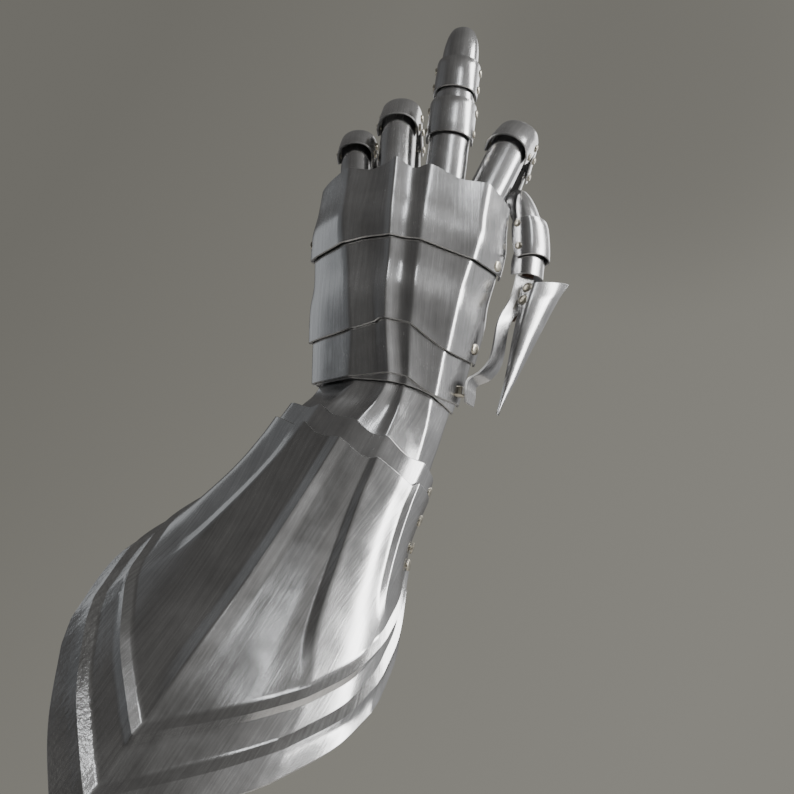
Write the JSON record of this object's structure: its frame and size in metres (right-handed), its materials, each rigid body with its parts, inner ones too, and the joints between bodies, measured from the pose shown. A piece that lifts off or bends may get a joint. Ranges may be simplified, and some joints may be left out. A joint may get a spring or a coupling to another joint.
{
  "type": "articulated plate gauntlet",
  "caption": "Fluted plate armour for a left hand and forearm, with a flared pointed cuff, hinged lames and jointed finger plates.",
  "frame": {"origin": "middle of the wrist, where the hand enters", "axes": "+Z along the back of the hand to the fingertips, +X to the thumb side, -Y out of the back of the hand; the cuff leans away below the origin"},
  "size_m": [0.1982, 0.1488, 0.4122],
  "materials": {
    "plate": "worn satin polish with fine lengthways brushing",
    "rivet": "worn, slightly warm nickel tone",
    "leather": "dark brown, plain"
  },
  "bodies": {
    "cuff": {"cuff": "plate", "cuff_under_plate": "plate", "rivet_collar_left": "rivet", "rivet_collar_right": "rivet", "rivet_under_left_1": "rivet", "rivet_under_left_2": "rivet", "rivet_under_right_1": "rivet", "rivet_under_right_2": "rivet"},
    "collar": {"wrist_collar": "plate", "rivet_wrist_left": "rivet", "rivet_wrist_right": "rivet"},
    "wrist": {"wrist_lame": "plate"},
    "strip": {"wrist_strip": "plate"},
    "hand_1": {"hand_lame_1": "plate", "rivet_hand_1_left": "rivet", "rivet_hand_1_right": "rivet"},
    "hand_2": {"hand_lame_2": "plate", "rivet_hand_2_left": "rivet", "rivet_hand_2_right": "rivet"},
    "knuckles": {"knuckle_plate": "plate", "rivet_hand_3_left": "rivet", "rivet_hand_3_right": "rivet", "finger_leather": "leather", "little_finger_proximal": "plate", "ring_finger_proximal": "plate", "middle_finger_proximal": "plate", "first_finger_proximal": "plate"},
    "little_finger_knuckle_cap": {"little_finger_knuckle_cap": "plate"},
    "little_finger_middle": {"little_finger_middle": "plate"},
    "little_finger_end_cap": {"little_finger_end_cap": "plate"},
    "little_finger_tip": {"little_finger_tip": "plate"},
    "ring_finger_knuckle_cap": {"ring_finger_knuckle_cap": "plate"},
    "ring_finger_middle": {"ring_finger_middle": "plate"},
    "ring_finger_end_cap": {"ring_finger_end_cap": "plate"},
    "ring_finger_tip": {"ring_finger_tip": "plate"},
    "middle_finger_knuckle_cap": {"middle_finger_knuckle_cap": "plate"},
    "middle_finger_middle": {"middle_finger_middle": "plate"},
    "middle_finger_end_cap": {"middle_finger_end_cap": "plate"},
    "middle_finger_tip": {"middle_finger_tip": "plate"},
    "first_finger_knuckle_cap": {"first_finger_knuckle_cap": "plate"},
    "first_finger_middle": {"first_finger_middle": "plate"},
    "first_finger_end_cap": {"first_finger_end_cap": "plate"},
    "first_finger_tip": {"first_finger_tip": "plate"},
    "thumb_base": {"thumb_strap": "plate", "thumb_wing": "plate", "thumb_leather": "leather", "rivet_thumb_1": "rivet", "rivet_thumb_2": "rivet", "thumb_proximal": "plate"},
    "thumb_cap": {"thumb_cap": "plate"},
    "thumb_tip": {"thumb_tip": "plate"}
  },
  "joints": [
    {"name": "collar_hinge", "type": "hinge", "parent": "cuff", "child": "collar", "pos_m": [-0.01537, -0.00468, -0.04206], "axis": [-0.9414, 0.1106, 0.3187], "range_deg": [-1.5, 5]},
    {"name": "wrist_hinge", "type": "hinge", "parent": "collar", "child": "wrist", "pos_m": [-0.01046, -0.00298, -0.02906], "axis": [-0.9414, 0.1106, 0.3187], "range_deg": [-2, 8]},
    {"name": "strip_hinge", "type": "hinge", "parent": "wrist", "child": "strip", "pos_m": [0.00196, -0.00364, 0.0115], "axis": [-0.9899, 0.1275, 0.062], "range_deg": [-2.5, 2.5]},
    {"name": "hand_hinge_1", "type": "hinge", "parent": "wrist", "child": "hand_1", "pos_m": [0.00196, -0.00364, 0.0115], "axis": [-0.9899, 0.1275, 0.062], "range_deg": [-2.5, 3]},
    {"name": "hand_hinge_2", "type": "hinge", "parent": "hand_1", "child": "hand_2", "pos_m": [-0.00077, -0.0032, 0.0335], "axis": [-0.9942, 0.0905, 0.0586], "range_deg": [-3, 2.5]},
    {"name": "hand_hinge_3", "type": "hinge", "parent": "hand_2", "child": "knuckles", "pos_m": [-0.00111, -0.0047, 0.077], "axis": [-0.996, 0.0797, 0.041], "range_deg": [-3, 3]},
    {"name": "little_finger_hinge_1", "type": "hinge", "parent": "knuckles", "child": "little_finger_knuckle_cap", "pos_m": [-0.0356, -0.00018, 0.13349], "axis": [-0.9848, 0, -0.1736], "range_deg": [-26, 10]},
    {"name": "little_finger_hinge_2", "type": "hinge", "parent": "little_finger_knuckle_cap", "child": "little_finger_middle", "pos_m": [-0.03717, 0.00828, 0.14242], "axis": [-0.9848, 0, -0.1736], "range_deg": [-46, 2]},
    {"name": "little_finger_hinge_3", "type": "hinge", "parent": "little_finger_middle", "child": "little_finger_end_cap", "pos_m": [-0.03714, 0.01978, 0.14222], "axis": [-0.9848, 0, -0.1736], "range_deg": [-34, 2]},
    {"name": "little_finger_hinge_4", "type": "hinge", "parent": "little_finger_end_cap", "child": "little_finger_tip", "pos_m": [-0.03615, 0.02737, 0.13659], "axis": [-0.9848, 0, -0.1736], "range_deg": [-16, 6]},
    {"name": "ring_finger_hinge_1", "type": "hinge", "parent": "knuckles", "child": "ring_finger_knuckle_cap", "pos_m": [-0.01448, -0.0035, 0.14997], "axis": [-0.9945, 0, -0.1045], "range_deg": [-26, 10]},
    {"name": "ring_finger_hinge_2", "type": "hinge", "parent": "ring_finger_knuckle_cap", "child": "ring_finger_middle", "pos_m": [-0.01557, 0.00524, 0.16033], "axis": [-0.9945, 0, -0.1045], "range_deg": [-46, 2]},
    {"name": "ring_finger_hinge_3", "type": "hinge", "parent": "ring_finger_middle", "child": "ring_finger_end_cap", "pos_m": [-0.01557, 0.01974, 0.16033], "axis": [-0.9945, 0, -0.1045], "range_deg": [-34, 2]},
    {"name": "ring_finger_hinge_4", "type": "hinge", "parent": "ring_finger_end_cap", "child": "ring_finger_tip", "pos_m": [-0.01493, 0.02824, 0.15419], "axis": [-0.9945, 0, -0.1045], "range_deg": [-16, 6]},
    {"name": "middle_finger_hinge_1", "type": "hinge", "parent": "knuckles", "child": "middle_finger_knuckle_cap", "pos_m": [0.01393, -0.00828, 0.14636], "axis": [-0.9997, 0, -0.0262], "range_deg": [-2, 42]},
    {"name": "middle_finger_hinge_2", "type": "hinge", "parent": "middle_finger_knuckle_cap", "child": "middle_finger_middle", "pos_m": [0.01359, -0.00694, 0.15909], "axis": [-0.9997, 0, -0.0262], "range_deg": [-2, 42]},
    {"name": "middle_finger_hinge_3", "type": "hinge", "parent": "middle_finger_middle", "child": "middle_finger_end_cap", "pos_m": [0.01319, -0.00507, 0.17437], "axis": [-0.9997, 0, -0.0262], "range_deg": [-2, 38]},
    {"name": "middle_finger_hinge_4", "type": "hinge", "parent": "middle_finger_end_cap", "child": "middle_finger_tip", "pos_m": [0.01291, -0.00353, 0.18526], "axis": [-0.9997, 0, -0.0262], "range_deg": [-2, 28]},
    {"name": "first_finger_hinge_1", "type": "hinge", "parent": "knuckles", "child": "first_finger_knuckle_cap", "pos_m": [0.04493, 0.0029, 0.14582], "axis": [-0.9636, 0, 0.2672], "range_deg": [-26, 10]},
    {"name": "first_finger_hinge_2", "type": "hinge", "parent": "first_finger_knuckle_cap", "child": "first_finger_middle", "pos_m": [0.04772, 0.01164, 0.15586], "axis": [-0.9636, 0, 0.2672], "range_deg": [-46, 2]},
    {"name": "first_finger_hinge_3", "type": "hinge", "parent": "first_finger_middle", "child": "first_finger_end_cap", "pos_m": [0.04772, 0.02614, 0.15586], "axis": [-0.9636, 0, 0.2672], "range_deg": [-34, 2]},
    {"name": "first_finger_hinge_4", "type": "hinge", "parent": "first_finger_end_cap", "child": "first_finger_tip", "pos_m": [0.04607, 0.03464, 0.14991], "axis": [-0.9636, 0, 0.2672], "range_deg": [-16, 6]},
    {"name": "thumb_strap_hinge", "type": "hinge", "parent": "hand_1", "child": "thumb_base", "pos_m": [0.04189, -0.00878, 0.009], "axis": [0.9285, -0.3714, 0], "range_deg": [-5, 0.3]},
    {"name": "thumb_hinge_1", "type": "hinge", "parent": "thumb_base", "child": "thumb_cap", "pos_m": [0.06267, 0.01022, 0.09199], "axis": [-0.5728, -0.8192, -0.03], "range_deg": [-8, 9]},
    {"name": "thumb_hinge_2", "type": "hinge", "parent": "thumb_cap", "child": "thumb_tip", "pos_m": [0.06051, 0.01126, 0.10477], "axis": [-0.5728, -0.8192, -0.03], "range_deg": [-8, 9]}
  ]
}
